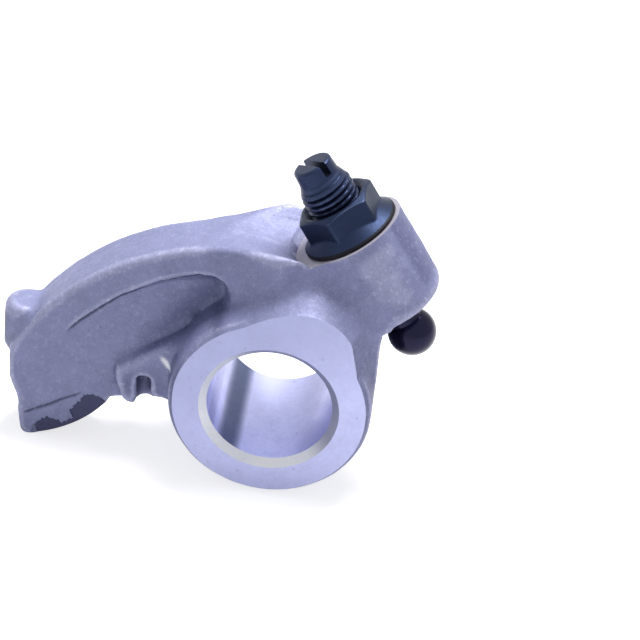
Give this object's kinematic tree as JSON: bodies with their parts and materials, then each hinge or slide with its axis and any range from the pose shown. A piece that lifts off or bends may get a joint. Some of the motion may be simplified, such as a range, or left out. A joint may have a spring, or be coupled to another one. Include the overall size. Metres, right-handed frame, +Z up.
{
  "type": "rocker arm",
  "caption": "Cast aluminium rocker arm with a shaft bore, a curved hard-metal cam pad and a slotted, ball-ended valve adjusting screw held by a flanged lock nut.",
  "frame": {"origin": "centre of the shaft bore, midway along it", "axes": "+Y along the shaft bore, +X from the bore towards the adjusting screw, +Z up as the arm stands on its ring and pad heel"},
  "size_m": [0.0657, 0.024, 0.0524],
  "materials": {
    "cast_aluminium": "as cast, machined at the ring faces, bore and screw seat",
    "pad_metal": "ground, dark",
    "black_steel": "black oxide, satin",
    "nut_steel": "black oxide, satin"
  },
  "bodies": {
    "arm": {"arm_body": "cast_aluminium", "cam_pad": "pad_metal"},
    "screw": {"adjusting_screw": "black_steel"},
    "nut": {"lock_nut": "nut_steel"}
  },
  "joints": [
    {"name": "screw_adjust", "type": "slide", "parent": "arm", "child": "screw", "axis": [-0.5621, 0, 0.8271], "range_m": [-0.002, 0.0012]},
    {"name": "nut_turn", "type": "hinge", "parent": "arm", "child": "nut", "pos_m": [0.00882, 0, 0.02554], "axis": [-0.5621, 0, 0.8271], "range_deg": [0, 90]}
  ]
}
